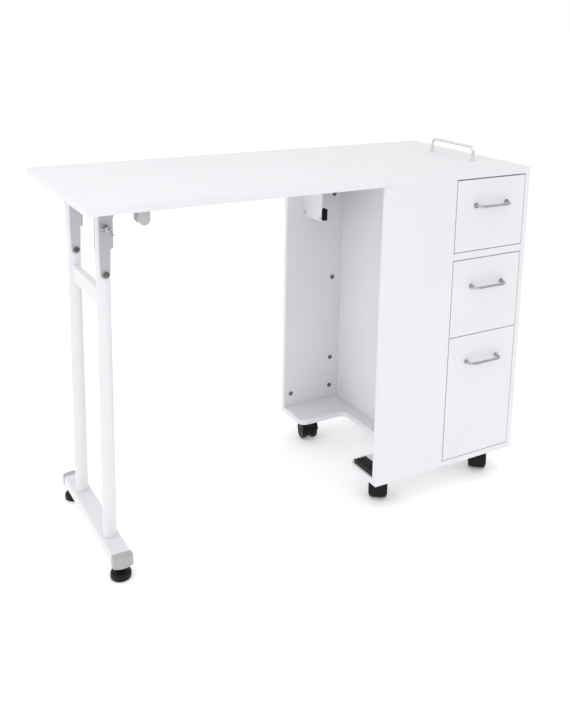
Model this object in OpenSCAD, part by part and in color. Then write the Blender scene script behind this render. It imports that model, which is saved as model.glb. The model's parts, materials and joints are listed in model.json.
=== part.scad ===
// Folding work table: a rolling three-drawer cabinet with a drop leaf and a folding leg frame.
// Millimetres, +Z up. +X runs from the leg frame to the cabinet, -Y is the drawer side.

/* [Table] */
// Overall length of the top
table_l = 1057; // [1045:1:1075]
// Depth of the top
table_d = 450; // [440:5:470]
// Height of the top surface above the floor
table_h = 780; // [776:1:790]
// Length of the drop leaf
leaf_l = 645; // [640:1:650]
// Thickness of the top boards
top_t = 15; // [14:0.5:16]

/* [Cabinet] */
// Thickness of the cabinet boards
board_t = 14; // [13:0.5:15]
// Setback of the rear panel from the rear edge of the top
rear_inset = 5; // [3:1:8]
// Height of the cabinet's underside above the floor
base_z = 66; // [64:1:67]
// Width of the plain front panel
front_panel_w = 192; // [190:1:194]
// Clear depth of the open recess behind the front panel
recess_w = 168; // [165:1:170]
// Gap around each drawer front
reveal = 2; // [1.5:0.5:2.5]
// Height of the lowest drawer front
drawer_3_h = 307; // [303:1:310]
// Height of the middle drawer front
drawer_2_h = 184; // [180:1:186]
// Height of the fixed rail under the top drawer
rail_h = 17; // [15:1:18]

/* [Drawers] */
// Distance from the top drawer front's upper edge down to its handle
handle_drop_1 = 60; // [56:1:64]
// Distance from the two lower fronts' upper edges down to their handles
handle_drop = 65; // [61:1:69]
// Distance between the posts of a drawer handle
handle_pitch = 92; // [88:1:96]
// Bar diameter of a drawer handle
handle_dia = 7; // [6:0.5:8]
// How far a handle stands out from its drawer front
handle_reach = 24; // [22:1:27]
// Depth of a drawer box behind its front
box_d = 375; // [360:5:380]

/* [Leg frame] */
// Distance of the leg frame from the free end of the leaf
leg_setback = 65; // [60:1:68]
// Height of the leg pivots above the floor
pivot_z = 622; // [618:1:624]
// Diameter of the leg tubes
tube_dia = 28; // [27:0.5:29]
// Distance between the two leg tubes
tube_pitch = 200; // [194:2:206]
// Length of the foot rail over its end caps
foot_l = 380; // [374:2:384]
// Height of the levelling glides
glide_h = 31; // [29:1:32]

/* [Casters] */
// Wheel diameter
wheel_dia = 48; // [46:1:49]
// Distance from the swivel axis to the wheel axis
trail = 15; // [14:1:16]

/* [Hidden] */
$fn = 64;
eps = 0.01;

LEAF_NODES = ["leaf_board", "leaf_hinge_plates", "leaf_hinge_pins", "leg_bracket_front", "leg_bracket_rear",
    "bracket_screws", "leaf_latch_clip"];
LEG_NODES = ["leg_tube_front", "leg_tube_rear", "leg_crossbar", "foot_rail", "foot_end_caps",
    "leg_pivot_bolts", "lock_plunger_front", "lock_plunger_rear", "glide_front", "glide_rear"];
CABINET_NODES = ["cabinet_top", "front_panel", "rear_panel", "partition_panel", "right_side_panel",
    "bottom_board", "drawer_rail", "cabinet_screws", "grab_rail", "top_hinge_plates", "slide_channels",
    "slide_packers", "caster_mounts", "leg_stop_plate", "stop_plate_screws", "leg_stop_pad", "ribbed_block"];
DRAWER_NODES = ["drawer_1_front", "drawer_1_box", "drawer_1_bottom", "drawer_1_handle", "drawer_1_runners",
    "drawer_2_front", "drawer_2_box", "drawer_2_bottom", "drawer_2_handle", "drawer_2_runners",
    "drawer_3_front", "drawer_3_box", "drawer_3_bottom", "drawer_3_handle", "drawer_3_runners"];
CASTER_NODES = ["caster_housing_fl", "caster_housing_fr", "caster_housing_rl", "caster_housing_rr",
    "caster_wheels_fl", "caster_wheels_fr", "caster_wheels_rl", "caster_wheels_rr"];

// Colours
white_board = "white";
white_steel = "whitesmoke";
grey_steel = "lightgray";
chrome_tone = "silver";
black_part = [0.1, 0.1, 0.1];
zinc = "gainsboro";
dark_steel = [0.35, 0.35, 0.37];

// Main planes. The handles stand in front of the top, so the box over everything is centred with them.

left_x = -table_l / 2;
right_x = table_l / 2;
front_y = -(table_d - handle_reach) / 2;
rear_y = front_y + table_d;
seam_x = left_x + leaf_l;
under_z = table_h - top_t;
seam_gap = 0.5;

// Cabinet planes
cab_x0 = seam_x + seam_gap;
cab_y0 = front_y;
cab_y1 = rear_y - rear_inset;
side_x = right_x - board_t;
panel_x1 = cab_x0 + front_panel_w;
part_x0 = cab_x0 + recess_w;
part_x1 = part_x0 + board_t;
inner_y0 = cab_y0 + board_t;
inner_y1 = cab_y1 - board_t;
floor_z = base_z + board_t;

// Bottom cut-out that the ends of the folded leg tubes pass through
cut_x1 = cab_x0 + 134;
cut_y0 = front_y + 112;
cut_y1 = front_y + 337;
cut_r = 20;

// Drawer fronts: [lowest z, height]
front_x0 = panel_x1 + reveal;
front_x1 = side_x - reveal;
d3_z = floor_z + reveal;
d2_z = d3_z + drawer_3_h + reveal;
rail_z = d2_z + drawer_2_h + reveal;
d1_z = rail_z + rail_h + reveal;
top_gap = 3;
d1_h = under_z - top_gap - d1_z;
FRONTS = [[d1_z, d1_h], [d2_z, drawer_2_h], [d3_z, drawer_3_h]];
BOX_H = [d1_h - 50, drawer_2_h - 50, drawer_3_h - 90];
box_lift = 12;
rosette_r = 6;
rosette_t = 2.5;
box_wall = 12;
slide_gap = 12.7;
slide_inset = 0.8;
slide_x0 = panel_x1 + slide_inset;
box_x0 = slide_x0 + slide_gap;
box_x1 = side_x - slide_gap;
box_y1 = inner_y0 + box_d;
slide_t = 1.5;
slide_h = 36;
slide_l = 350;
slide_out = 9;
slide_play = 0.5;
slide_y0 = inner_y0 + 4;
runner_short = 10;

// Hinge line under the seam
hinge_r = 3.5;
hinge_z = under_z - hinge_r - 0.3;
hinge_leaf_w = 28;
hinge_len = 60;
hinge_plate_t = 1.5;
pin_r = 1.75;
HINGE_Y = [front_y + 60, front_y + table_d / 2, rear_y - 60];

// Leg frame
leg_x = left_x + leg_setback;
leg_y = front_y + 225;
LEG_Y = [leg_y - tube_pitch / 2, leg_y + tube_pitch / 2];
tube_r = tube_dia / 2;
tube_top = under_z - 7;
foot_h = 25;
foot_w = 41;
foot_z = glide_h;
foot_y0 = front_y + 35;
cap_l = 20;
solid_end = 20;
plate_t = 2;
bracket_gap = 0.5;
bracket_w = 22;
bracket_end_w = 19;
ear_x = 28;
toe_x = 24;
flange_x = 36;
lock_r = 3;
lock_guide_clear = 0.08;
lock_hole_clear = 0.3;
BRACKET_SCREW_X = [-17, 30];
BRACKET_SCREW_Y = 9;
web_z = under_z - 93;
bolt_r = 4;
lock_z = under_z - 50;
cross_z = 550;
cross_h = 37;
cross_w = 16;
wall = 1.5;

// Casters: [x, y] of the swivel axis and the angle in degrees by which the caster is turned.
// An unturned caster trails to the rear.
FL = [cab_x0 + 42.5, front_y + 48, -36];
FR = [right_x - 68, front_y + 43, -39];
RL = [cab_x0 + 48.5, rear_y - 73, -12];
RR = [right_x - 59, rear_y - 73, 0];
CASTERS = [FL, FR, RL, RR];
wheel_r = wheel_dia / 2;
wheel_w = 15;
wheel_gap = 12;
wheel_play = 0.3;
stem_r = 5;
axle_r = 3;
mount_t = 3;
mount_w = 38;
mount_z = base_z - mount_t;
hood_z = mount_z - 3;

// ---- Helpers ----

module box_from(a, b) {
    translate(a) cube([b.x - a.x, b.y - a.y, b.z - a.z]);
}

// Rounded rectangle centred on the origin
module round_rect(w, h, r) {
    square([w - 2 * r, h], center = true);
    square([w, h - 2 * r], center = true);
    for (sx = [-1, 1], sy = [-1, 1]) translate([sx * (w / 2 - r), sy * (h / 2 - r)]) circle(r);
}

// Flat oval centred on the origin, long axis along Y
module flat_oval(w, d) {
    square([w, d - w], center = true);
    for (s = [-1, 1]) translate([0, s * (d - w) / 2]) circle(w / 2);
}

// Round bar bent into a U: two posts down to z = 0 and a bar along Y at the given height
module u_bar(pitch, height, dia, bend) {
    r = dia / 2;
    top = height - r;
    for (s = [-1, 1]) {
        translate([0, s * pitch / 2, 0]) cylinder(r = r, h = top - bend + eps);
        translate([0, s * (pitch / 2 - bend), top - bend]) rotate([90, 0, 90]) rotate([0, 0, s > 0 ? 0 : 90])
            rotate_extrude(angle = 90) translate([bend, 0]) circle(r);
    }
    translate([0, -(pitch / 2 - bend) - eps, top]) rotate([-90, 0, 0])
        cylinder(r = r, h = pitch - 2 * bend + 2 * eps);
}

// Pan-head screw with its head's flat at z = 0, shank up
module screw_up(head_r, head_h, shank_r, shank_l) {
    translate([0, 0, -head_h]) cylinder(r = head_r, h = head_h);
    translate([0, 0, -eps]) cylinder(r = shank_r, h = shank_l);
}

// ---- Drop leaf ----

SCREW_PITCH = 22;
HINGE_SCREW_X = 18;
pilot_r = 1.5;
pilot_l = 10;
screw_hole_r = 1.6;

// Places of the hinge screws on one leaf plate, for a side of -1 or 1
module at_hinge_screws(side) {
    x = seam_x + seam_gap / 2 + side * HINGE_SCREW_X;
    for (y = HINGE_Y, s = [-1, 1]) translate([x, y + s * SCREW_PITCH, 0]) children();
}

// Places of the four screws of a leg bracket
module at_bracket_screws() {
    for (y = LEG_Y, x = BRACKET_SCREW_X, sy = [-1, 1])
        translate([leg_x + x, y + sy * BRACKET_SCREW_Y, 0]) children();
}

// Places of the two screws of the catch clip
module at_clip_screws() {
    for (s = [-1, 1]) translate([clip_x + 10, clip_y + clip_d / 2 + s * 7, 0]) children();
}

module leaf_board() {
    color(white_board) difference() {
        box_from([left_x, front_y, under_z], [seam_x, rear_y, table_h]);
        translate([0, 0, under_z - eps]) at_hinge_screws(-1) cylinder(r = pilot_r, h = pilot_l, $fn = 24);
        translate([0, 0, under_z - eps]) at_bracket_screws() cylinder(r = pilot_r, h = pilot_l, $fn = 24);
        translate([0, 0, under_z - eps]) at_clip_screws() cylinder(r = pilot_r, h = pilot_l, $fn = 24);
    }
}

// One side of the butt hinges: plates and the knuckles that belong to it
module hinge_side(side) {
    segments = 5;
    seg = hinge_len / segments;
    axis_x = seam_x + seam_gap / 2;
    for (y = HINGE_Y) for (i = [0:segments - 1]) {
        mine = (i % 2 == 0) == (side > 0);
        y0 = y - hinge_len / 2 + i * seg;
        inner = mine ? 0 : hinge_r + 0.6;
        difference() {
            union() {
                x0 = min(side * inner, side * hinge_leaf_w);
                translate([axis_x + x0, y0, under_z - hinge_plate_t])
                    cube([hinge_leaf_w - inner, seg, hinge_plate_t]);
                if (mine) translate([axis_x, y0 + 0.2, hinge_z]) rotate([-90, 0, 0])
                    cylinder(r = hinge_r, h = seg - 0.4, $fn = 32);
            }
            if (mine) translate([axis_x, y0 - 1, hinge_z]) rotate([-90, 0, 0])
                cylinder(r = pin_r + 0.05, h = seg + 2, $fn = 32);
        }
    }
}

module hinge_plates(side) {
    color(zinc) difference() {
        hinge_side(side);
        translate([0, 0, under_z - 5]) at_hinge_screws(side)
            cylinder(r = screw_hole_r, h = pilot_l, $fn = 24);
    }
}

module hinge_screws(side) {
    color(zinc) translate([0, 0, under_z - hinge_plate_t]) at_hinge_screws(side)
        screw_up(3, 1.2, pilot_r, pilot_l, $fn = 24);
}

module leaf_hinge_plates() {
    hinge_plates(-1);
    hinge_screws(-1);
}

module leaf_hinge_pins() {
    color(zinc) for (y = HINGE_Y) translate([seam_x + seam_gap / 2, y - hinge_len / 2 - 0.5, hinge_z])
        rotate([-90, 0, 0]) cylinder(r = pin_r, h = hinge_len + 1, $fn = 32);
}

// Side plate of a leg bracket in the X-Z plane, with a round lower end around the pivot bolt
module bracket_side_outline() {
    half = bracket_w / 2;
    end = bracket_end_w / 2;
    web_x = tube_r + bracket_gap + plate_t;
    translate([0, pivot_z]) circle(end);
    polygon([[-end, pivot_z], [end, pivot_z], [half, web_z], [web_x, web_z], [web_x, under_z - 35],
        [ear_x, under_z], [-toe_x, under_z], [-half, under_z - 12], [-half, web_z]]);
}

module leg_bracket(y, outer) {
    side_y = tube_r + bracket_gap;
    outer_y = side_y + plate_t;
    color(grey_steel) translate([leg_x, y, 0]) difference() {
        union() {
            for (s = [-1, 1]) translate([0, s > 0 ? outer_y : -side_y, 0]) rotate([90, 0, 0])
                linear_extrude(plate_t) bracket_side_outline();
            translate([tube_r + bracket_gap, -side_y - eps, web_z])
                cube([plate_t, 2 * side_y + 2 * eps, under_z - web_z]);
            translate([-toe_x, -outer_y, under_z - plate_t]) cube([toe_x + flange_x, 2 * outer_y, plate_t]);
        }
        translate([0, -tube_dia, pivot_z]) rotate([-90, 0, 0]) cylinder(r = bolt_r + 0.05, h = 2 * tube_dia);
        translate([0, 0, lock_z]) rotate([outer > 0 ? -90 : 90, 0, 0])
            cylinder(r = lock_r + lock_guide_clear, h = tube_dia);
        for (x = BRACKET_SCREW_X, sy = [-1, 1]) translate([x, sy * BRACKET_SCREW_Y, under_z - 5])
            cylinder(r = screw_hole_r, h = pilot_l, $fn = 24);
    }
}

module leg_bracket_front() { leg_bracket(LEG_Y[0], -1); }
module leg_bracket_rear() { leg_bracket(LEG_Y[1], 1); }

module bracket_screws() {
    color(zinc) translate([0, 0, under_z - plate_t]) {
        at_bracket_screws() screw_up(4, 2, pilot_r, 11, $fn = 24);
        at_clip_screws() screw_up(3.5, 1.6, pilot_r, 11, $fn = 24);
    }
}

// Small bent catch under the leaf's front edge, open to the free end
clip_w = 22;
clip_d = 30;
clip_h = 27;
clip_x = left_x + 97;
clip_y = front_y + 5;
module leaf_latch_clip() {
    round_z = -clip_h + clip_w / 2;
    color(grey_steel) difference() {
        translate([clip_x, clip_y, under_z]) {
            for (y = [0, clip_d - plate_t]) translate([0, y + plate_t, 0]) rotate([90, 0, 0])
                linear_extrude(plate_t) {
                    translate([0, round_z]) square([clip_w, -round_z]);
                    translate([clip_w / 2, round_z]) circle(clip_w / 2);
                }
            translate([clip_w - plate_t, 0, round_z]) cube([plate_t, clip_d, -round_z]);
            translate([0, 0, -plate_t]) cube([clip_w, clip_d, plate_t]);
        }
        translate([0, 0, under_z - plate_t - 1]) at_clip_screws() cylinder(r = screw_hole_r, h = 5, $fn = 24);
    }
}

// ---- Leg frame ----

module leg_tube(y) {
    base = foot_z + foot_h;
    color(white_steel) translate([leg_x, y, 0]) difference() {
        translate([0, 0, base]) cylinder(r = tube_r, h = tube_top - base);
        translate([0, 0, base + wall]) cylinder(r = tube_r - wall, h = pivot_z - 12 - base - wall);
        translate([0, -tube_dia, pivot_z]) rotate([-90, 0, 0]) cylinder(r = bolt_r + 0.05, h = 2 * tube_dia);
        translate([0, y < leg_y ? -tube_dia : 0, lock_z]) rotate([-90, 0, 0])
            cylinder(r = lock_r + lock_hole_clear, h = tube_dia);
    }
}

module leg_tube_front() { leg_tube(LEG_Y[0]); }
module leg_tube_rear() { leg_tube(LEG_Y[1]); }

// Flat bar between the tubes, its ends cut to their curve
module leg_crossbar() {
    span = tube_pitch - 2 * wall;
    color(white_steel) translate([leg_x, leg_y, cross_z + cross_h / 2]) difference() {
        rotate([90, 0, 0]) translate([0, 0, -span / 2]) linear_extrude(span) round_rect(cross_w, cross_h, 4);
        for (s = [-1, 1]) translate([0, s * tube_pitch / 2, -cross_h]) cylinder(r = tube_r, h = 2 * cross_h);
    }
}

// Screw holes of the two glides, seen from the middle of the foot rail
glide_y = [foot_y0 + 24, foot_y0 + foot_l - 24];
stem_glide_r = 4;

module foot_rail() {
    y0 = foot_y0 + cap_l;
    length = foot_l - 2 * cap_l;
    hollow_y = wall + solid_end;
    color(white_steel) translate([leg_x, y0, foot_z + foot_h / 2]) difference() {
        rotate([-90, 0, 0]) linear_extrude(length) round_rect(foot_w, foot_h, 5);
        translate([0, hollow_y, 0]) rotate([-90, 0, 0]) linear_extrude(length - 2 * hollow_y)
            round_rect(foot_w - 2 * wall, foot_h - 2 * wall, 3.5);
        for (y = glide_y) translate([0, y - y0, -foot_h]) cylinder(r = stem_glide_r + 0.05, h = foot_h + 8);
    }
}

// Caps on the ends of the foot rail, each stepping in towards its rounded nose
CAP_STEPS = [[0, 12, 0], [12, 5, 2], [17, 3, 6]];
module foot_end_caps() {
    mid = foot_y0 + foot_l / 2;
    color(grey_steel) for (s = [-1, 1])
        translate([leg_x, mid + s * (foot_l / 2 - cap_l), foot_z + foot_h / 2])
            rotate([s > 0 ? -90 : 90, 0, 0]) for (c = CAP_STEPS)
                translate([0, 0, c[0] - (c[0] > 0 ? eps : 0)])
                    linear_extrude(c[1] + eps) round_rect(foot_w - 2 * c[2], foot_h - 2 * c[2], 5);
}

module leg_pivot_bolts() {
    reach = tube_r + bracket_gap + plate_t;
    color(chrome_tone) for (y = LEG_Y) translate([leg_x, y, pivot_z]) rotate([-90, 0, 0]) {
        translate([0, 0, -reach - 0.3]) cylinder(r = bolt_r, h = 2 * reach + 0.6, $fn = 32);
        translate([0, 0, -reach - 4.3]) cylinder(r = 6.5, h = 4);
        translate([0, 0, reach + 0.3]) cylinder(r = 6.5, h = 5, $fn = 6);
    }
}

// Spring plunger with a two-winged pull; outer is the direction in which it is pulled.
// Its pin is drawn just clear of the tube.
pin_clear = 0.4;
tail_r = 1.5;
tail_l = 24.5;
tail_angle = 43;
module lock_plunger(y, outer) {
    face = tube_r + bracket_gap + plate_t;
    tip = tube_r + pin_clear;
    color(chrome_tone) translate([leg_x, y, lock_z]) rotate([outer > 0 ? -90 : 90, 0, 0]) {
        translate([0, 0, tip]) cylinder(r = lock_r, h = face + 11 - tip, $fn = 32);
        translate([0, 0, face + 0.5]) cylinder(r = 7, h = 7);
        translate([0, 0, face + 4]) rotate([0, 0, outer * tail_angle]) rotate([0, 90, 0])
            cylinder(r = tail_r, h = tail_l, $fn = 24);
        translate([0, 0, face + 10]) {
            cylinder(r = 5, h = 8);
            for (s = [-1, 1]) translate([s * 6, 0, 4]) rotate([90, 0, 0]) translate([0, 0, -1.5])
                linear_extrude(3) flat_oval(8, 14);
        }
    }
}

module lock_plunger_front() { lock_plunger(LEG_Y[0], -1); }
module lock_plunger_rear() { lock_plunger(LEG_Y[1], 1); }

module glide(y) {
    color(black_part) translate([leg_x, y, 0]) {
        cylinder(r = 19, h = 3);
        translate([0, 0, 3 - eps]) cylinder(r = 21, h = 8);
        translate([0, 0, 11 - 2 * eps]) cylinder(r1 = 21, r2 = 15, h = 7);
        translate([0, 0, 18 - 3 * eps]) cylinder(r = 8, h = 8, $fn = 6);
        translate([0, 0, 26 - 4 * eps]) cylinder(r = stem_glide_r, h = foot_z - 26 + foot_h / 2);
    }
}

module glide_front() { glide(glide_y[0]); }
module glide_rear() { glide(glide_y[1]); }

// ---- Cabinet ----

rail_base_x = right_x - 71;
rail_base_y = front_y + 201.5;
rail_pitch = 155;
rail_dia = 8;
rail_height = 36;

module cabinet_top() {
    color(white_board) difference() {
        box_from([cab_x0, front_y, under_z], [right_x, rear_y, table_h]);
        translate([0, 0, under_z - eps]) at_hinge_screws(1) cylinder(r = pilot_r, h = pilot_l, $fn = 24);
        for (s = [-1, 1]) translate([rail_base_x, rail_base_y + s * rail_pitch / 2, under_z - 1])
            cylinder(r = 2.1, h = top_t + 2, $fn = 24);
    }
}

module front_panel() {
    color(white_board) box_from([cab_x0, cab_y0, base_z], [panel_x1, inner_y0, under_z]);
}

// Places of the connector screws: [x, z] on the rear panel's inner face
ROW_X = part_x0 - 26;
REAR_SCREWS = [[ROW_X, 655], [ROW_X, 426], [ROW_X, 197], [ROW_X, 115], [cab_x0 + 20.5, 115]];

module rear_panel() {
    color(white_board) difference() {
        box_from([cab_x0, inner_y1, base_z], [side_x, cab_y1, under_z]);
        for (p = REAR_SCREWS) translate([p.x, inner_y1 - 1, p[1]]) rotate([-90, 0, 0])
            cylinder(r = 2.6, h = 9, $fn = 24);
    }
}

module partition_panel() {
    color(white_board) box_from([part_x0, inner_y0, floor_z], [part_x1, inner_y1, under_z]);
}

module right_side_panel() {
    color(white_board) box_from([side_x, cab_y0, base_z], [right_x, cab_y1, under_z]);
}

module cut_out_outline() {
    width = cut_x1 - cab_x0;
    depth = cut_y1 - cut_y0;
    translate([cab_x0, cut_y0]) {
        difference() {
            translate([-1, -cut_r]) square([width + 1, depth + 2 * cut_r]);
            for (y = [-cut_r, depth + cut_r]) translate([cut_r, y]) circle(cut_r);
            for (y = [-cut_r, depth]) translate([cut_r, y]) square([width, cut_r]);
            for (y = [0, depth]) translate([width, y]) square([2 * cut_r, 2 * cut_r], center = true);
        }
        for (y = [cut_r, depth - cut_r]) translate([width - cut_r, y]) circle(cut_r);
    }
}

module bottom_board() {
    color(white_board) difference() {
        union() {
            box_from([cab_x0, inner_y0, base_z], [side_x, inner_y1, floor_z]);
            box_from([panel_x1, cab_y0, base_z], [side_x, inner_y0 + eps, floor_z]);
        }
        translate([0, 0, base_z - 1]) linear_extrude(board_t + 2) cut_out_outline();
        for (c = CASTERS) translate([c.x, c.y, base_z - 1]) cylinder(r = stem_r + 0.6, h = 12, $fn = 32);
    }
}

// Ribbed block that stands on the bottom board's front strip, beside the open edge
block_x = cab_x0 + 5;
block_y = front_y + 22;
block_w = 32;
block_l = 74;
block_h = 8;
block_ribs = 4;
rib_w = 4;
rib_h = 2;
module ribbed_block() {
    pitch = (block_w - rib_w) / (block_ribs - 1);
    color(black_part) translate([block_x, block_y, floor_z]) {
        cube([block_w, block_l, block_h]);
        for (i = [0:block_ribs - 1]) translate([i * pitch, 0, block_h - eps]) cube([rib_w, block_l, rib_h]);
    }
}

rail_d = 45;
module drawer_rail() {
    color(white_board) {
        box_from([panel_x1, cab_y0, rail_z], [side_x, inner_y0 + eps, rail_z + rail_h]);
        box_from([part_x1, inner_y0, rail_z], [side_x, inner_y0 + rail_d, rail_z + rail_h]);
    }
}

connector_head_r = 6;
connector_head_h = 1.2;
module cabinet_screws() {
    color(dark_steel) for (p = REAR_SCREWS)
        translate([p.x, inner_y1 - connector_head_h, p[1]]) rotate([-90, 0, 0]) {
        cylinder(r = connector_head_r, h = connector_head_h);
        cylinder(r = 2.5, h = 9, $fn = 24);
    }
    color(dark_steel) for (s = [-1, 1])
        translate([rail_base_x, rail_base_y + s * rail_pitch / 2, under_z - 2]) {
            cylinder(r = 4.5, h = 2);
            cylinder(r = 2, h = top_t + 5, $fn = 24);
        }
}

module grab_rail() {
    color(chrome_tone) translate([rail_base_x, rail_base_y, table_h]) difference() {
        union() {
            u_bar(rail_pitch, rail_height, rail_dia, 11);
            for (s = [-1, 1]) translate([0, s * rail_pitch / 2, 0]) {
                cylinder(r = 9, h = 2);
                translate([0, 0, 2 - eps]) cylinder(r1 = 9, r2 = 6, h = 2.5);
            }
        }
        for (s = [-1, 1]) translate([0, s * rail_pitch / 2, -1]) cylinder(r = 2.05, h = 5, $fn = 24);
    }
}

module top_hinge_plates() {
    hinge_plates(1);
    hinge_screws(1);
}

// Stop plate that hangs under the cabinet top beside the rear panel, and its black pad.
// The glides of the folded foot rail come to rest just short of the plate.
stop_x = cab_x0 + 48.5;
stop_y = front_y + 342;
stop_w = inner_y1 - stop_y;
stop_h = 157;
stop_t = 3;
stop_hole_r = 2.5;
module leg_stop_plate() {
    color(white_steel) translate([stop_x, stop_y, under_z - stop_h]) difference() {
        union() {
            cube([stop_t, stop_w, stop_h]);
            translate([0, 0, stop_h - stop_t]) cube([26, stop_w, stop_t]);
            translate([0, stop_w - stop_t, 0]) cube([26, stop_t, stop_h]);
        }
        for (y = STOP_SCREW_Y) translate([-1, y, 8]) rotate([0, 90, 0])
            cylinder(r = stop_hole_r, h = stop_t + 2, $fn = 32);
    }
}

STOP_SCREW_Y = [7, stop_w - 10];
module stop_plate_screws() {
    color(dark_steel) translate([stop_x, stop_y, under_z - stop_h + 8]) for (y = STOP_SCREW_Y)
        translate([0, y, 0]) rotate([0, 90, 0]) {
            translate([0, 0, -1.6]) cylinder(r = 4, h = 1.6);
            translate([0, 0, -eps]) cylinder(r = stop_hole_r - 0.1, h = stop_t + 3, $fn = 32);
            translate([0, 0, stop_t]) cylinder(r = 4.2, h = 2.6, $fn = 6);
        }
}

pad_w = 8;
pad_h = 29;
pad_t = 10;
module leg_stop_pad() {
    color(black_part) translate([stop_x + stop_t, stop_y - pad_w, under_z - stop_h + 4]) {
        cube([pad_t, pad_w, pad_h]);
        translate([-stop_t, 0, 0]) cube([stop_t + eps, pad_w, pad_h]);
        translate([0, pad_w - eps, 15]) cube([pad_t, 12, pad_h - 15]);
    }
}

// ---- Drawers ----

function handle_z(i) = FRONTS[i][0] + FRONTS[i][1] - (i == 0 ? handle_drop_1 : handle_drop);
function slide_z(i) = FRONTS[i][0] + box_lift + BOX_H[i] / 2;

module slide_channels() {
    color(zinc) for (i = [0:2]) {
        z = slide_z(i) - slide_h / 2;
        for (side = [0, 1]) {
            x = side == 0 ? slide_x0 : side_x - slide_out;
            web = side == 0 ? slide_x0 : side_x - slide_t;
            translate([web, slide_y0, z]) cube([slide_t, slide_l, slide_h]);
            for (dz = [0, slide_h - slide_t])
                translate([x, slide_y0, z + dz]) cube([slide_out, slide_l, slide_t]);
        }
    }
}

// Packing strips that carry the left slides past the edge of the front panel
module slide_packers() {
    color(white_board) for (i = [0:2]) {
        z = slide_z(i) - slide_h / 2;
        box_from([part_x1, slide_y0, z], [slide_x0, slide_y0 + slide_l, z + slide_h]);
    }
}

module drawer_front(i) {
    z = FRONTS[i][0];
    h = FRONTS[i][1];
    mid_x = (front_x0 + front_x1) / 2;
    color(white_board) difference() {
        box_from([front_x0, cab_y0, z], [front_x1, inner_y0, z + h]);
        for (s = [-1, 1]) translate([mid_x + s * handle_pitch / 2, cab_y0 - 1, handle_z(i)])
            rotate([-90, 0, 0]) cylinder(r = 2.05, h = board_t + 2, $fn = 24);
    }
}

// Two sides and a back, grooved for the bottom
module drawer_box(i) {
    z = FRONTS[i][0] + box_lift;
    h = BOX_H[i];
    color(white_board) {
        for (x = [box_x0, box_x1 - box_wall]) box_from([x, inner_y0, z], [x + box_wall, box_y1, z + h]);
        box_from([box_x0 + box_wall, box_y1 - box_wall, z], [box_x1 - box_wall, box_y1, z + h]);
    }
}

module drawer_bottom(i) {
    z = FRONTS[i][0] + box_lift;
    color(white_board)
        box_from([box_x0 + box_wall, inner_y0, z + 2], [box_x1 - box_wall, box_y1 - box_wall, z + 6]);
}

module drawer_handle(i) {
    z = handle_z(i);
    mid_x = (front_x0 + front_x1) / 2;
    color(chrome_tone) {
        translate([mid_x, cab_y0, z]) rotate([90, 0, 0]) rotate([0, 0, 90])
            u_bar(handle_pitch, handle_reach, handle_dia, 13);
        for (s = [-1, 1]) translate([mid_x + s * handle_pitch / 2, cab_y0, z]) rotate([90, 0, 0])
            cylinder(r = rosette_r, h = rosette_t);
        for (s = [-1, 1]) translate([mid_x + s * handle_pitch / 2, inner_y0 + 2, z]) rotate([90, 0, 0]) {
            cylinder(r = 4, h = 2);
            cylinder(r = 2, h = board_t + 2, $fn = 24);
        }
    }
}

module drawer_runners(i) {
    z = slide_z(i) - slide_h / 2 + slide_t + slide_play;
    h = slide_h - 2 * (slide_t + slide_play);
    gap = slide_t + slide_play;
    color(chrome_tone) for (x = [[slide_x0 + gap, box_x0], [box_x1, side_x - gap]])
        box_from([x[0], slide_y0, z], [x[1], slide_y0 + slide_l - runner_short, z + h]);
}

module drawer_1_front() { drawer_front(0); }
module drawer_1_box() { drawer_box(0); }
module drawer_1_bottom() { drawer_bottom(0); }
module drawer_1_handle() { drawer_handle(0); }
module drawer_1_runners() { drawer_runners(0); }
module drawer_2_front() { drawer_front(1); }
module drawer_2_box() { drawer_box(1); }
module drawer_2_bottom() { drawer_bottom(1); }
module drawer_2_handle() { drawer_handle(1); }
module drawer_2_runners() { drawer_runners(1); }
module drawer_3_front() { drawer_front(2); }
module drawer_3_box() { drawer_box(2); }
module drawer_3_bottom() { drawer_bottom(2); }
module drawer_3_handle() { drawer_handle(2); }
module drawer_3_runners() { drawer_runners(2); }

// ---- Casters ----

// Fixed plates and stems
stem_low = 14;
stem_high = 16;
module caster_mounts() {
    color(black_part) for (c = CASTERS) translate([c.x, c.y, 0]) {
        translate([-mount_w / 2, -mount_w / 2, mount_z]) cube([mount_w, mount_w, mount_t]);
        translate([0, 0, hood_z - stem_low]) cylinder(r = stem_r, h = stem_low + stem_high, $fn = 32);
    }
}

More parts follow.
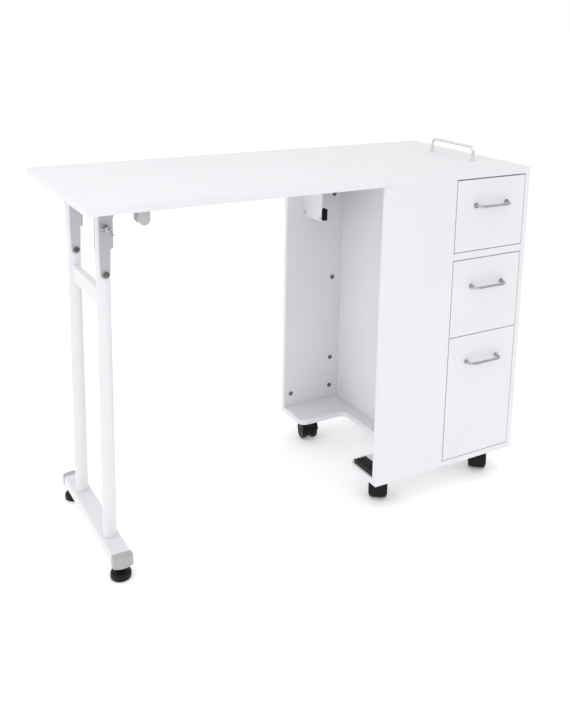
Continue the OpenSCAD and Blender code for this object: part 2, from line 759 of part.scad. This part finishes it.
// Hood between and over the twin wheels, with the stem's socket and the fixed axle
module caster_housing(c) {
    color(black_part) translate([c.x, c.y, 0]) rotate([0, 0, c.z]) difference() {
        union() {
            translate([0, 0, wheel_r]) cylinder(r = 9.5, h = hood_z - 0.5 - wheel_r);
            translate([-(wheel_gap - 2) / 2, 0, 0]) {
                translate([0, trail, wheel_r]) rotate([0, 90, 0])
                    cylinder(r = wheel_r - 4, h = wheel_gap - 2);
                translate([0, 0, wheel_r - 6]) cube([wheel_gap - 2, trail, wheel_r + 6]);
            }
            intersection() {
                translate([-wheel_w - wheel_gap / 2, trail, wheel_r]) rotate([0, 90, 0])
                    cylinder(r = wheel_r + 5, h = 2 * wheel_w + wheel_gap);
                translate([-50, trail - 40, wheel_r + 8]) cube([100, 80, 60]);
            }
            translate([-wheel_w - wheel_gap / 2 - 1, trail, wheel_r]) rotate([0, 90, 0])
                cylinder(r = axle_r, h = 2 * wheel_w + wheel_gap + 2, $fn = 32);
        }
        translate([0, 0, hood_z - 14.5]) cylinder(r = stem_r + 0.05, h = 20, $fn = 32);
        for (x = [-wheel_w - wheel_gap / 2 - 1, wheel_gap / 2 - 1]) translate([x, trail, wheel_r])
            rotate([0, 90, 0]) difference() {
                cylinder(r = wheel_r + 1.2, h = wheel_w + 2);
                translate([0, 0, -1]) cylinder(r = axle_r, h = wheel_w + 4, $fn = 32);
            }
    }
}

module caster_wheels(c) {
    color(black_part) translate([c.x, c.y, 0]) rotate([0, 0, c.z])
        translate([0, trail, wheel_r]) rotate([0, 90, 0])
        for (z = [-wheel_w - wheel_gap / 2, wheel_gap / 2 + wheel_play]) translate([0, 0, z]) difference() {
            union() {
                cylinder(r = wheel_r - 2, h = wheel_w - wheel_play);
                translate([0, 0, 2]) cylinder(r = wheel_r, h = wheel_w - 4.3);
            }
            translate([0, 0, -1]) cylinder(r = axle_r + 0.06, h = wheel_w + 2, $fn = 32);
        }
}

module caster_housing_fl() { caster_housing(FL); }
module caster_housing_fr() { caster_housing(FR); }
module caster_housing_rl() { caster_housing(RL); }
module caster_housing_rr() { caster_housing(RR); }
module caster_wheels_fl() { caster_wheels(FL); }
module caster_wheels_fr() { caster_wheels(FR); }
module caster_wheels_rl() { caster_wheels(RL); }
module caster_wheels_rr() { caster_wheels(RR); }

// ---- Assembly ----

leaf_board();
leaf_hinge_plates();
leaf_hinge_pins();
leg_bracket_front();
leg_bracket_rear();
bracket_screws();
leaf_latch_clip();
leg_stop_plate();
stop_plate_screws();
leg_stop_pad();
ribbed_block();
leg_tube_front();
leg_tube_rear();
leg_crossbar();
foot_rail();
foot_end_caps();
leg_pivot_bolts();
lock_plunger_front();
lock_plunger_rear();
glide_front();
glide_rear();
cabinet_top();
front_panel();
rear_panel();
partition_panel();
right_side_panel();
bottom_board();
drawer_rail();
cabinet_screws();
grab_rail();
top_hinge_plates();
slide_channels();
slide_packers();
caster_mounts();
drawer_1_front();
drawer_1_box();
drawer_1_bottom();
drawer_1_handle();
drawer_1_runners();
drawer_2_front();
drawer_2_box();
drawer_2_bottom();
drawer_2_handle();
drawer_2_runners();
drawer_3_front();
drawer_3_box();
drawer_3_bottom();
drawer_3_handle();
drawer_3_runners();
caster_housing_fl();
caster_housing_fr();
caster_housing_rl();
caster_housing_rr();
caster_wheels_fl();
caster_wheels_fr();
caster_wheels_rl();
caster_wheels_rr();
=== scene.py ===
"""Looks for the folding work table: materials, finer meshes for the small parts, studio and camera."""
import json
import math

import bmesh
import bpy
from mathutils import Matrix, Vector

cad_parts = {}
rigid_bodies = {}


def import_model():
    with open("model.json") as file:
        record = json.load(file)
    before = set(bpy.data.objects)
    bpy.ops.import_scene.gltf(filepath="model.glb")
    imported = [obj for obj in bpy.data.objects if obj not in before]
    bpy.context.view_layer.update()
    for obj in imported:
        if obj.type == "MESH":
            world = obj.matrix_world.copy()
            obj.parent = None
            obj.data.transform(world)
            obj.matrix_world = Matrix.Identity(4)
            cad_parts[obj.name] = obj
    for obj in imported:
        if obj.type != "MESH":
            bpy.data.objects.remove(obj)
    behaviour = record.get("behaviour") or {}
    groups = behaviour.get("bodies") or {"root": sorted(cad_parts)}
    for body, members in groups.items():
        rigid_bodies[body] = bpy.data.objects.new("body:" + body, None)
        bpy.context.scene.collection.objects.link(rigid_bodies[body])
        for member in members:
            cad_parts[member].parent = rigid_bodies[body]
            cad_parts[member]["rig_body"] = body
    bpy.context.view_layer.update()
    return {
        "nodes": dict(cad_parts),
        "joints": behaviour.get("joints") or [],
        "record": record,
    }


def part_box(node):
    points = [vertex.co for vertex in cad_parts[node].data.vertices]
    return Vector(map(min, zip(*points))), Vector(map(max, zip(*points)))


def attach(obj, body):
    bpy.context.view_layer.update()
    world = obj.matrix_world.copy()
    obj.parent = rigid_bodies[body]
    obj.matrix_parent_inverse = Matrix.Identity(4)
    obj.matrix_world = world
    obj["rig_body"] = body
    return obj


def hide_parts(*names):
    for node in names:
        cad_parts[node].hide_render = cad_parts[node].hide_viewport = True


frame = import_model()
NODES = frame["nodes"]
SLOT_OF = {s["node"]: s["material_slot"] for s in frame["record"]["subparts"]}
CORNERS = ("fl", "fr", "rl", "rr")
SIDES = ("front", "rear")
JOINTS = {j["name"]: j for j in frame["joints"]}


# ---- Materials ----

COAT_ROUGHNESS = 0.12
PATCH_FROM, PATCH_TO = 0.3, 0.7
RELIEF_STRENGTH = 0.5


def add(tree, kind, **values):
    """Adds a shader node; values set its inputs by name."""
    node = tree.nodes.new(kind)
    for key, value in values.items():
        node.inputs[key.replace("_", " ")].default_value = value
    return node


def surface(name, low, high, rough, grain, depth, metallic=0.0, patch=6.0, coat=0.0, stretch=(1, 1, 1),
            specular=0.5):
    """A moulded, coated or plated surface. Colour runs from low to high in soft patches of size 1/patch
    metres, rough is the range of roughness, and grain and depth are the relief's scale and height.
    Stretch scales the whole pattern along each axis."""
    material = bpy.data.materials.new(name)
    material.use_nodes = True
    tree = material.node_tree
    link = tree.links.new
    shader = tree.nodes["Principled BSDF"]
    shader.inputs["Metallic"].default_value = metallic
    shader.inputs["Coat Weight"].default_value = coat
    shader.inputs["Coat Roughness"].default_value = COAT_ROUGHNESS
    shader.inputs["Specular IOR Level"].default_value = specular
    place = tree.nodes.new("ShaderNodeTexCoord")
    mapping = add(tree, "ShaderNodeMapping", Scale=stretch)
    link(place.outputs["Object"], mapping.inputs["Vector"])
    cloud = add(tree, "ShaderNodeTexNoise", Scale=patch, Detail=4.0, Roughness=0.55)
    fine = add(tree, "ShaderNodeTexNoise", Scale=grain, Detail=3.0, Roughness=0.6)
    for texture in (cloud, fine):
        link(mapping.outputs["Vector"], texture.inputs["Vector"])
    ramp = tree.nodes.new("ShaderNodeValToRGB")
    ramp.color_ramp.elements[0].position = PATCH_FROM
    ramp.color_ramp.elements[0].color = (*low, 1)
    ramp.color_ramp.elements[1].position = PATCH_TO
    ramp.color_ramp.elements[1].color = (*high, 1)
    link(cloud.outputs["Fac"], ramp.inputs["Fac"])
    link(ramp.outputs["Color"], shader.inputs["Base Color"])
    gloss = tree.nodes.new("ShaderNodeMapRange")
    gloss.inputs["To Min"].default_value = rough[0]
    gloss.inputs["To Max"].default_value = rough[1]
    link(fine.outputs["Fac"], gloss.inputs["Value"])
    link(gloss.outputs["Result"], shader.inputs["Roughness"])
    relief = add(tree, "ShaderNodeBump", Strength=RELIEF_STRENGTH, Distance=depth)
    link(fine.outputs["Fac"], relief.inputs["Height"])
    link(relief.outputs["Normal"], shader.inputs["Normal"])
    return material


def grey(value, tint=0.0):
    """A grey, made cooler by a little extra blue."""
    return (value, value, value + tint)


MATERIALS = {
    "white_board": surface("white_board", grey(0.765, 0.03), grey(0.785, 0.03), (0.34, 0.48), 1400,
                           0.00008),
    "white_steel": surface("white_steel", grey(0.74, 0.025), grey(0.77, 0.025), (0.26, 0.38), 700, 0.00012,
                           coat=0.25),
    "grey_steel": surface("grey_steel", grey(0.46, 0.02), grey(0.54, 0.02), (0.35, 0.5), 900, 0.0001,
                          metallic=0.25),
    "grey_plastic": surface("grey_plastic", grey(0.40, 0.012), grey(0.45, 0.012), (0.4, 0.55), 1800,
                            0.0001),
    "chrome": surface("chrome", grey(0.40, 0.012), grey(0.56, 0.012), (0.05, 0.12), 300, 0.00002,
                      metallic=1.0, patch=50.0),
    # Lighter copy of the chrome for the grab rail: painted light standing in for its brighter reflections
    "rail_chrome_painted_light": surface("rail_chrome_painted_light", grey(0.74, 0.015), grey(0.82, 0.015), (0.08, 0.15), 300, 0.00002,
                           metallic=1.0),
    "zinc_steel": surface("zinc_steel", grey(0.52), grey(0.66), (0.25, 0.42), 500, 0.00005, metallic=1.0,
                          patch=60.0, stretch=(1, 6, 1)),
    "dark_steel": surface("dark_steel", grey(0.14), grey(0.2, 0.01), (0.25, 0.4), 900, 0.00004, metallic=0.9,
                          patch=80.0),
    "black_plastic": surface("black_plastic", grey(0.002), grey(0.005, 0.001), (0.28, 0.42), 1500, 0.00006,
                             patch=40.0, specular=0.22),
    "black_rubber": surface("black_rubber", grey(0.004), grey(0.008), (0.6, 0.8), 1200, 0.00015, patch=50.0,
                            specular=0.15),
}

# Width of the eased edges of each slot, in metres
EDGE = {
    "white_board": 0.0008, "white_steel": 0.0012, "grey_steel": 0.0005, "grey_plastic": 0.0012,
    "chrome": 0.0004, "zinc_steel": 0.0003, "dark_steel": 0.0003, "black_plastic": 0.0009,
    "black_rubber": 0.0015,
}
EDGE_SEGMENTS = 3
EDGE_ANGLE = math.radians(40)
WELD_DISTANCE = 0.00001
FLAT_ANGLE = math.radians(0.4)
NORMAL_WEIGHT = 50
# Nodes whose material differs from the rest of their slot: a zinc finish for the stop plate screws, and for
# the grab rail a lighter copy of the chrome, painted light standing in for the rail's brighter reflections
FINISH_AND_PAINTED_LIGHT_OF = {"grab_rail": "rail_chrome_painted_light", "stop_plate_screws": "zinc_steel"}


def smooth(piece):
    for face in piece.data.polygons:
        face.use_smooth = True


def dress(node):
    """Gives a CAD node its material, eased edges and clean shading."""
    piece = NODES[node]
    name = SLOT_OF[node]
    piece.data.materials.clear()
    piece.data.materials.append(MATERIALS[FINISH_AND_PAINTED_LIGHT_OF.get(node, name)])
    weld = piece.modifiers.new("weld", "WELD")
    weld.merge_threshold = WELD_DISTANCE
    flat = piece.modifiers.new("flat", "DECIMATE")
    flat.decimate_type = "DISSOLVE"
    flat.angle_limit = FLAT_ANGLE
    bevel = piece.modifiers.new("edge", "BEVEL")
    bevel.width = EDGE[name]
    bevel.segments = EDGE_SEGMENTS
    bevel.limit_method = "ANGLE"
    bevel.angle_limit = EDGE_ANGLE
    bevel.use_clamp_overlap = True
    smooth(piece)
    even = piece.modifiers.new("even", "WEIGHTED_NORMAL")
    even.mode = "FACE_AREA"
    even.weight = NORMAL_WEIGHT
    even.keep_sharp = True


# ---- Mesh tools ----

MERGE_DISTANCE = 1e-6
ON_AXIS = 1e-7


def piece_from(name, bm, node, sharp=35):
    """Turns a bmesh into a piece that stands for a CAD node and rides on its body. It is shaded smooth,
    apart from edges sharper than sharp degrees."""
    bmesh.ops.remove_doubles(bm, verts=bm.verts, dist=MERGE_DISTANCE)
    bmesh.ops.recalc_face_normals(bm, faces=bm.faces)
    mesh = bpy.data.meshes.new(name)
    bm.to_mesh(mesh)
    bm.free()
    piece = bpy.data.objects.new(name, mesh)
    bpy.context.scene.collection.objects.link(piece)
    mesh.materials.append(MATERIALS[SLOT_OF[node]])
    smooth(piece)
    mesh.set_sharp_from_angle(angle=math.radians(sharp))
    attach(piece, NODES[node]["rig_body"])
    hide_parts(node)
    return piece


def lathe(bm, profile, place, steps=64, flutes=0, flute=0.0, flute_low=0.0, flute_high=0.0):
    """Turns a closed profile of (radius, height) about Z, then puts it in place. Between two heights the
    surface can be fluted."""
    rings = []
    for i in range(steps):
        turn = 2 * math.pi * i / steps
        ring = []
        for radius, height in profile:
            if flutes and flute_low <= height <= flute_high and radius > 2 * flute:
                radius += flute * math.cos(flutes * turn)
            point = Vector((radius * math.cos(turn), radius * math.sin(turn), height))
            ring.append(bm.verts.new(place @ point))
        rings.append(ring)
    for i in range(steps):
        here, there = rings[i], rings[(i + 1) % steps]
        for k in range(len(profile)):
            j = (k + 1) % len(profile)
            starts, ends = profile[k][0] < ON_AXIS, profile[j][0] < ON_AXIS
            if starts and ends:
                continue
            corners = [here[k], here[j], there[j], there[k]]
            if starts:
                corners = [here[k], here[j], there[j]]
            elif ends:
                corners = [here[k], here[j], there[k]]
            bm.faces.new(corners)


def rod(bm, radius, half, ease, place, steps):
    """A plain round bar centred on its place, its two ends eased."""
    profile = [(0, -half), (radius - ease, -half), (radius, ease - half)]
    profile += [(radius, half - ease), (radius - ease, half), (0, half)]
    lathe(bm, profile, place, steps)


def skin(bm, rings):
    """Joins rings of points into a closed skin."""
    for here, there in zip(rings, rings[1:]):
        for k in range(len(here)):
            j = (k + 1) % len(here)
            bm.faces.new([here[k], here[j], there[j], there[k]])
    bm.faces.new(rings[0])
    bm.faces.new(rings[-1])


def arc(cx, cy, radius, start, end, steps=6):
    """Points of an arc, angles in degrees."""
    turns = [math.radians(start + (end - start) * i / steps) for i in range(steps + 1)]
    return [(cx + radius * math.cos(t), cy + radius * math.sin(t)) for t in turns]


def along(point, axis):
    """Placement that takes Z to an axis, at a point."""
    turn = Vector(axis).to_track_quat("Z", "Y").to_matrix().to_4x4()
    return Matrix.Translation(Vector(point)) @ turn


# ---- Casters ----

WHEEL_INNER = 0.0064
WHEEL_OUTER = 0.0208
WHEEL_BORE = 0.0031
TREAD_ROUND = 0.003
# Outer side of a wheel: step in from the tread, and depth under the side
WHEEL_DISH = ((0.0058, 0.0002), (0.0066, 0.0016), (0.0110, 0.0024))
# Hub ring: radius, and depth under the side
WHEEL_HUB = ((0.0095, 0.0022), (0.0088, 0.0006), (0.0070, 0.0002), (WHEEL_BORE, 0.0002))


def caster_wheels(corner):
    """Two dished wheels with a crowned tread and a raised hub ring."""
    node = "caster_wheels_" + corner
    joint = JOINTS["roll_" + corner]
    low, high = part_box(node)
    radius = (high.z - low.z) / 2
    bend = radius - TREAD_ROUND
    bm = bmesh.new()
    for side in (-1, 1):
        profile = [(WHEEL_BORE, WHEEL_INNER), (bend, WHEEL_INNER)]
        profile += arc(bend, WHEEL_INNER + TREAD_ROUND, TREAD_ROUND, -90, 0)[1:]
        profile += arc(bend, WHEEL_OUTER - TREAD_ROUND, TREAD_ROUND, 0, 90)
        profile += [(radius - step, WHEEL_OUTER - depth) for step, depth in WHEEL_DISH]
        profile += [(ring, WHEEL_OUTER - depth) for ring, depth in WHEEL_HUB]
        lathe(bm, profile, along(joint["pos_m"], Vector(joint["axis"]) * side))
    piece_from("wheels_" + corner, bm, node, sharp=50)


HOOD_INNER = 0.0254
HOOD_OUTER = 0.0284
HOOD_HALF_W = 0.0222
HOOD_ROUND = 0.005
HOOD_STEPS = 36
# The hood's sweep in degrees above the level of the axle, and the narrowing of its lower end
HOOD_LOW = -32
HOOD_SWEEP = 152
HOOD_TAPER_FROM = -6
HOOD_TAPER = 0.3
SOCKET_R = 0.0095
SOCKET_BORE = 0.0052
SOCKET_EASE = 0.001
SOCKET_FROM = 0.6 * HOOD_INNER
WEB_R, WEB_HALF_W, WEB_EASE = 0.020, 0.005, 0.001
AXLE_R, AXLE_HALF_L, AXLE_EASE = 0.0030, 0.0220, 0.0004


def caster_hood(corner):
    """Smooth hood in front of and over the twin wheels, with the stem's socket, the web between the wheels
    and their axle."""
    node = "caster_housing_" + corner
    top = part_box(node)[1].z
    swivel = Vector(JOINTS["swivel_" + corner]["pos_m"])
    axle = Vector(JOINTS["roll_" + corner]["pos_m"])
    axis = Vector(JOINTS["roll_" + corner]["axis"])
    back = axle - swivel
    back.z = 0
    back.normalize()
    section = [(-HOOD_HALF_W, HOOD_INNER)]
    section += arc(-HOOD_HALF_W + HOOD_ROUND, HOOD_OUTER - HOOD_ROUND, HOOD_ROUND, 180, 90, 6)
    section += arc(HOOD_HALF_W - HOOD_ROUND, HOOD_OUTER - HOOD_ROUND, HOOD_ROUND, 90, 0, 6)
    section += [(HOOD_HALF_W, HOOD_INNER)]
    bm = bmesh.new()
    rings = []
    for i in range(HOOD_STEPS + 1):
        degrees = HOOD_LOW + HOOD_SWEEP * i / HOOD_STEPS
        past = max(0, (HOOD_TAPER_FROM - degrees) / (HOOD_TAPER_FROM - HOOD_LOW))
        width = 1 - HOOD_TAPER * past ** 2
        turn = math.radians(degrees)
        out = -back * math.cos(turn) + Vector((0, 0, 1)) * math.sin(turn)
        rings.append([bm.verts.new(axle + axis * w * width + out * r) for w, r in section])
    skin(bm, rings)
    socket_low = axle.z + SOCKET_FROM
    socket = [(SOCKET_BORE, socket_low), (SOCKET_R, socket_low), (SOCKET_R, top - SOCKET_EASE)]
    socket += [(SOCKET_R - SOCKET_EASE, top), (SOCKET_BORE, top)]
    lathe(bm, socket, Matrix.Translation((swivel.x, swivel.y, 0)), 48)
    rod(bm, WEB_R, WEB_HALF_W, WEB_EASE, along(axle, axis), 48)
    rod(bm, AXLE_R, AXLE_HALF_L, AXLE_EASE, along(axle, axis), 32)
    piece_from("hood_" + corner, bm, node, sharp=40)


# ---- Glides ----

GLIDE_RIM = 0.0025
GLIDE_SOLE_INSET = 0.004
GLIDE_SHOULDER = 0.006
GLIDE_SHOULDER_Z = 0.010
GLIDE_NECK_Z = 0.0165
# Nut, as radius and height
GLIDE_NUT = ((0.0095, 0.0185), (0.0095, 0.026), (0.0085, 0.027), (0.0042, 0.0272))
STEM_LOW = GLIDE_NUT[-1][1]
THREAD_PITCH = 0.0015
THREAD_CREST, THREAD_ROOT = 0.0040, 0.0035
CREST_RISE, ROOT_RISE = 0.0003, 0.001
GRIPS = 24
GRIP_DEPTH = 0.0004
GRIP_LOW, GRIP_HIGH = 0.002, 0.012


def glide(side):
    """Levelling foot: a soft-edged disc with a gripped rim, a nut and a threaded stem."""
    node = "glide_" + side
    low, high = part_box(node)
    middle = (low + high) / 2
    radius = (high.x - low.x) / 2
    top = high.z
    profile = [(0, 0), (radius - GLIDE_SOLE_INSET, 0)]
    profile += arc(radius - GLIDE_RIM, GLIDE_RIM, GLIDE_RIM, -80, 0)
    profile += arc(radius - GLIDE_SHOULDER, GLIDE_SHOULDER_Z, GLIDE_SHOULDER, 0, 55)
    profile += [(radius - GLIDE_SHOULDER, GLIDE_NECK_Z), *GLIDE_NUT]
    for i in range(int((top - STEM_LOW) / THREAD_PITCH)):
        z = STEM_LOW + THREAD_PITCH * i
        profile += [(THREAD_CREST, z + CREST_RISE), (THREAD_ROOT, z + ROOT_RISE)]
    profile += [(THREAD_ROOT, top), (0, top)]
    bm = bmesh.new()
    place = Matrix.Translation((middle.x, middle.y, 0))
    lathe(bm, profile, place, 120, GRIPS, GRIP_DEPTH, GRIP_LOW, GRIP_HIGH)
    piece_from("foot_" + side, bm, node)


# ---- Foot rail end caps ----

NOSE_RISE = 0.006
NOSE_STEPS = 16
CAP_EASE = 0.0012


def cap_outline(half_w, joint_y, nose_y, sign, inset):
    """Plan of a cap: straight sides and a nose bowed outwards."""
    half = half_w - inset
    points = [(-half, joint_y)]
    for i in range(NOSE_STEPS + 1):
        x = half * (2 * i / NOSE_STEPS - 1)
        bow = NOSE_RISE * (1 - (x / half) ** 2)
        points.append((x, nose_y - sign * (NOSE_RISE - bow + inset)))
    return points + [(half, joint_y)]


def end_caps():
    """Moulded caps with upright sides, a bowed nose and eased upper and lower edges."""
    node = "foot_end_caps"
    low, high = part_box(node)
    rail_low, rail_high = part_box("foot_rail")
    half_w = (high.x - low.x) / 2
    middle_x = (low.x + high.x) / 2
    bm = bmesh.new()
    for sign, joint_y, nose_y in ((-1, rail_low.y, low.y), (1, rail_high.y, high.y)):
        levels = [(low.z, CAP_EASE), (low.z + CAP_EASE, 0), (high.z - CAP_EASE, 0), (high.z, CAP_EASE)]
        rings = []
        for z, inset in levels:
            plan = cap_outline(half_w, joint_y, nose_y, sign, inset)
            rings.append([bm.verts.new((middle_x + x, y, z)) for x, y in plan])
        skin(bm, rings)
    piece_from("rail_caps", bm, node, sharp=30)


# ---- Lock plungers ----

COLLAR_R = 0.0070
PULL_R = 0.0050
# Pin, collar and neck from the inner end outwards, as radius and height
KNOB = (
    (0, 0), (0.0022, 0), (0.0030, 0.0008), (0.0030, 0.0026), (0.0066, 0.0026), (COLLAR_R, 0.0030),
    (COLLAR_R, 0.0052), (0.0062, 0.0056), (0.0062, 0.0066), (COLLAR_R, 0.0070), (0.0066, 0.0096),
    (0.0030, 0.0096), (0.0030, 0.0120), (0.0045, 0.0124), (PULL_R, 0.0132),
)
# Rounded tip: radius, and distance from the outer end
KNOB_TIP = ((PULL_R, 0.002), (0.0042, 0.0006), (0.0030, 0), (0, 0))
WING_HALF_SIZE = (0.0050, 0.0024, 0.0068, 1)
WING_REACH = 0.0050
WING_FROM_TIP = 0.0069
WING_TURN = math.radians(-18)
TAIL_R = 0.0015
TAIL_L = 0.0245
TAIL_ANGLE = math.radians(43)
TAIL_FROM_TIP = 0.0061


def lock_knob(side):
    """Turned collar, pin, cross tail and a two-winged pull with rounded wings."""
    node = "lock_plunger_" + side
    low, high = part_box(node)
    tube_low, tube_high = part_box("leg_tube_" + side)
    sign = -1 if side == "front" else 1
    base_y = high.y if sign < 0 else low.y
    length = high.y - low.y
    x = (tube_low.x + tube_high.x) / 2
    z = high.z - COLLAR_R
    bm = bmesh.new()
    profile = [*KNOB, *((radius, length - depth) for radius, depth in KNOB_TIP)]
    lathe(bm, profile, along((x, base_y, z), (0, sign, 0)), 48)
    tail = [(0, 0), (TAIL_R, 0)] + arc(0, TAIL_L - TAIL_R, TAIL_R, 0, 90)
    reach = Vector((math.cos(TAIL_ANGLE), 0, -math.sin(TAIL_ANGLE)))
    lathe(bm, tail, along((x, base_y + sign * TAIL_FROM_TIP, z), reach), 24)
    for wing in (-1, 1):
        shape = bmesh.ops.create_icosphere(bm, subdivisions=4, radius=1.0)
        size = Matrix.Diagonal(WING_HALF_SIZE)
        centre = Vector((x + wing * WING_REACH, base_y + sign * (length - WING_FROM_TIP), z))
        turn = Matrix.Rotation(wing * WING_TURN, 4, "Y")
        lean = Matrix.Rotation(math.pi / 2, 4, "X")
        place = Matrix.Translation(centre) @ turn @ lean @ size
        bmesh.ops.transform(bm, matrix=place, verts=shape["verts"])
    piece_from("wing_knob_" + side, bm, node, sharp=50)


for node_name in NODES:
    dress(node_name)
for corner_name in CORNERS:
    caster_wheels(corner_name)
for corner_name in ("fl", "fr"):
    caster_hood(corner_name)
for side_name in SIDES:
    glide(side_name)
    lock_knob(side_name)
end_caps()


# ---- Studio ----

FLOOR_HALF = 30.0
FLOOR_DROP = 0.0005
FLOOR_GLOW = 0.2


def floor():
    """A wide pale floor just under the casters, with a faint glow of its own."""
    bm = bmesh.new()
    bmesh.ops.create_grid(bm, x_segments=2, y_segments=2, size=FLOOR_HALF)
    mesh = bpy.data.meshes.new("studio_floor")
    bm.to_mesh(mesh)
    bm.free()
    ground = bpy.data.objects.new("studio_floor", mesh)
    ground.location = (0, 0, -FLOOR_DROP)
    bpy.context.scene.collection.objects.link(ground)
    mesh.materials.append(surface("pale_floor", grey(0.97), grey(0.98), (0.85, 0.9), 40, 0.0001, patch=2.0))
    ground_shader = mesh.materials[0].node_tree.nodes["Principled BSDF"]
    ground_shader.inputs["Emission Color"].default_value = (1, 1, 1, 1)
    ground_shader.inputs["Emission Strength"].default_value = FLOOR_GLOW


def dark_card(name, place, aim, width, height):
    """A black board seen only in reflections, which gives polished metal a dark streak."""
    bm = bmesh.new()
    bmesh.ops.create_grid(bm, x_segments=1, y_segments=1, size=0.5)
    mesh = bpy.data.meshes.new(name)
    bm.to_mesh(mesh)
    bm.free()
    card = bpy.data.objects.new(name, mesh)
    card.location = place
    card.rotation_euler = (Vector(aim) - Vector(place)).to_track_quat("Z", "Y").to_euler()
    card.scale = (width, height, 1)
    card.visible_camera = False
    card.visible_diffuse = False
    card.visible_shadow = False
    bpy.context.scene.collection.objects.link(card)
    mesh.materials.append(surface(name, grey(0.02), grey(0.03), (0.8, 0.9), 200, 0.0001))


def soft_light(name, place, aim, size, power):
    """A square area light turned towards its aim."""
    lamp = bpy.data.lights.new(name, "AREA")
    lamp.shape = "SQUARE"
    lamp.size = size
    lamp.energy = power
    light = bpy.data.objects.new(name, lamp)
    light.location = place
    light.rotation_euler = (Vector(aim) - Vector(place)).to_track_quat("-Z", "Y").to_euler()
    bpy.context.scene.collection.objects.link(light)


def world(strength):
    """An even white surround."""
    sky = bpy.data.worlds.new("studio")
    sky.use_nodes = True
    back = sky.node_tree.nodes["Background"]
    back.inputs["Color"].default_value = (1, 1, 1, 1)
    back.inputs["Strength"].default_value = strength
    bpy.context.scene.world = sky


EYE = (-0.9565, -1.6872, 1.1319)
YAW, PITCH, ROLL = 0.5328, -0.2050, 0.0217
SENSOR_WIDTH = 36
LENS = 44.46
SHIFT_X, SHIFT_Y = -0.0276, -0.2312


def camera():
    """The viewpoint: in front of the table and to its left, above its top, turned towards the cabinet."""
    ahead = math.cos(PITCH)
    forward = Vector((math.sin(YAW) * ahead, math.cos(YAW) * ahead, math.sin(PITCH)))
    level = Vector((math.cos(YAW), -math.sin(YAW), 0))
    upright = level.cross(forward)
    right = level * math.cos(ROLL) + upright * math.sin(ROLL)
    up = -level * math.sin(ROLL) + upright * math.cos(ROLL)
    data = bpy.data.cameras.new("view")
    data.sensor_width = SENSOR_WIDTH
    data.lens = LENS
    data.shift_x = SHIFT_X
    data.shift_y = SHIFT_Y
    eye = bpy.data.objects.new("view", data)
    rows = [(right[k], up[k], -forward[k], EYE[k]) for k in range(3)]
    eye.matrix_world = Matrix((*rows, (0, 0, 0, 1)))
    bpy.context.scene.collection.objects.link(eye)
    bpy.context.scene.camera = eye


bpy.context.scene.view_settings.view_transform = "Standard"
floor()
world(1.0)
soft_light("key", place=(-0.95, -0.45, 1.8), aim=(-0.35, 0, 0.7), size=1.0, power=3.4)
soft_light("front", place=(-1.3, -2.0, 1.8), aim=(0.2, 0, 0.6), size=1.2, power=1.5)
dark_card("low_card", place=(0.9, -1.7, 0.3), aim=(0.3, 0, 0.4), width=2.0, height=0.9)
dark_card("high_card", place=(0.5, -1.8, 1.7), aim=(0.3, 0, 0.6), width=1.2, height=0.2)
camera()
